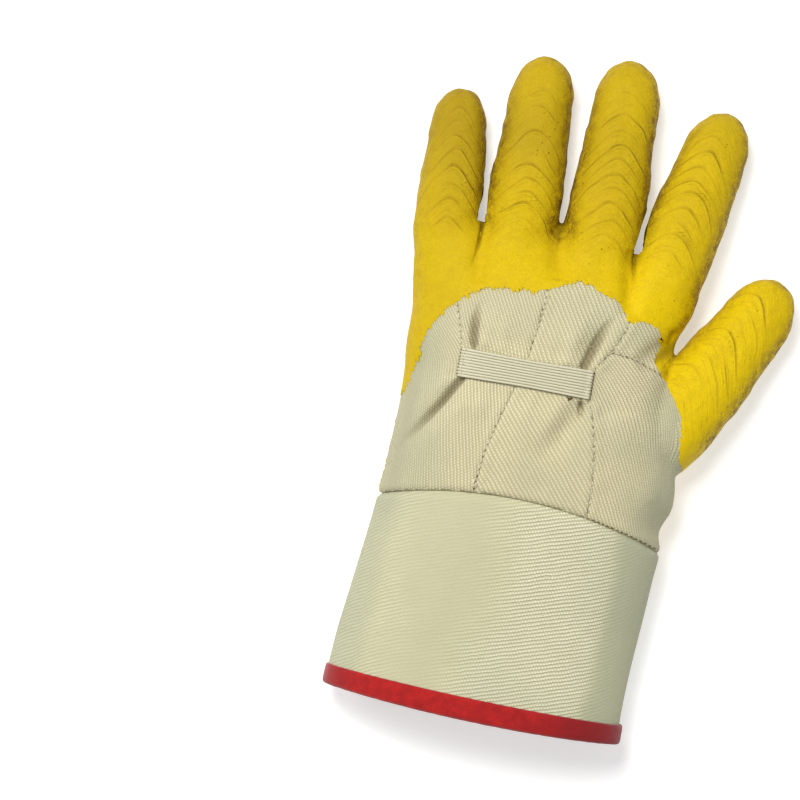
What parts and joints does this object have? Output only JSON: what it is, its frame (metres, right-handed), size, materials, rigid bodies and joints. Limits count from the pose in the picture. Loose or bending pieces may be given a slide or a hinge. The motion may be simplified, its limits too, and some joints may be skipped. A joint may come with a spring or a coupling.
{
  "type": "latex coated grip glove",
  "caption": "Left-hand canvas work glove with a crinkled yellow latex grip coat, an elastic across the back and a stiff flared safety cuff with a red bound rim.",
  "frame": {"origin": "bottom centre of the glove's bounding box, on the surface that the palm lies on", "axes": "+Y from the cuff to the fingertips, +Z out of the back of the hand, +X towards the thumb"},
  "size_m": [0.1578, 0.281, 0.0461],
  "materials": {
    "latex": "crinkled latex with a soft sheen",
    "canvas": "bare cotton twill",
    "elastic": "corded elastic braid",
    "cuff_canvas": "stiffened cotton twill",
    "binding_tape": "woven cotton tape"
  },
  "bodies": {
    "root": {"latex_coat": "latex", "little_panel": "canvas", "middle_panel": "canvas", "index_panel": "canvas", "thumb_panel": "canvas", "elastic_band": "elastic", "safety_cuff": "cuff_canvas", "cuff_binding": "binding_tape"}
  },
  "joints": []
}
